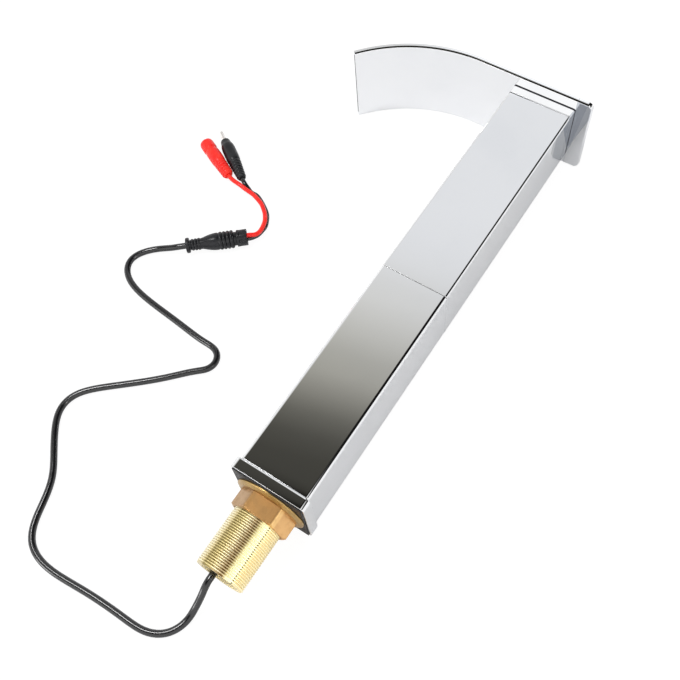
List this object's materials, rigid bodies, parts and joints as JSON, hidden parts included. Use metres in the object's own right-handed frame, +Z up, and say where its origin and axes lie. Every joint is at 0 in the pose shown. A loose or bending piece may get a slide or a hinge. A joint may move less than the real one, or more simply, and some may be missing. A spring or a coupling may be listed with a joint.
{
  "type": "waterfall basin faucet",
  "caption": "Tall square-column basin faucet with a wide curved waterfall spout, threaded deck shank and lock nut, and a sensor cable with DC connectors.",
  "frame": {"origin": "centre of the underside of the square base flange, on the column's axis, where the faucet meets the deck; the faucet lies on its side as it is shown", "axes": "+Y runs up the column from the deck to the head, -X is the way the spout reaches, and +Z is up as the faucet lies on its side, so the shank points along -Y"},
  "size_m": [0.2619, 0.4586, 0.0666],
  "materials": {
    "chrome": "polished chrome plate",
    "cast_brass": "as cast, machined where it seats",
    "turned_brass": "bright turned",
    "forged_brass": "matt forged with mottled oxide",
    "thread_brass": "pale yellow, fine cut thread",
    "steel": "plain stainless",
    "copper": "drawn copper tube",
    "fibre": "pressed red fibre",
    "black_seal": "matt black rubber",
    "window_black": "dark infrared-clear plastic",
    "housing_plastic": "moulded black plastic",
    "board_green": "varnished circuit board",
    "diode_violet": "tinted clear lens",
    "cable_black": "black flexible PVC with a soft sheen",
    "moulded_black": "moulded black PVC",
    "lead_red": "moulded red PVC",
    "nickel": "bright nickel plate",
    "insulator": "yellowish plastic"
  },
  "bodies": {
    "root": {"lower_column": "chrome", "upper_column": "chrome", "seam_ring": "black_seal", "joint_sleeve": "cast_brass", "head_cap": "chrome", "spout_tray": "chrome", "spout_cover": "chrome", "base_flange": "chrome", "base_gasket": "black_seal", "base_screws": "steel", "base_block": "cast_brass", "threaded_shank": "thread_brass", "riser_tube": "copper", "riser_nut": "turned_brass", "riser_washer": "fibre", "riser_seal": "black_seal", "sensor_window": "window_black", "sensor_seal": "black_seal", "sensor_housing": "housing_plastic", "sensor_board": "board_green", "sensor_diodes": "diode_violet", "sensor_bracket": "housing_plastic", "inner_cable": "cable_black", "cable_grommet": "black_seal", "sensor_cable": "cable_black", "connector_plug": "moulded_black", "connector_socket": "moulded_black", "red_lead": "lead_red", "black_lead": "cable_black", "red_jack": "lead_red", "jack_pin": "nickel", "black_plug": "moulded_black", "plug_barrel": "nickel", "plug_insulator": "insulator"},
    "washer": {"clamp_washer": "turned_brass"},
    "nut": {"lock_nut": "forged_brass"}
  },
  "joints": [
    {"name": "washer_slide", "type": "slide", "parent": "root", "child": "washer", "axis": [0, -1, 0], "range_m": [0, 0.0361]},
    {"name": "nut_turn", "type": "hinge", "parent": "washer", "child": "nut", "pos_m": [0, 0, 0], "axis": [0, -1, 0], "range_deg": [0, 8640]}
  ],
  "couplings": [
    {"joint": "washer_slide", "follows": "nut_turn", "m_per_rad": 0.00023873}
  ]
}
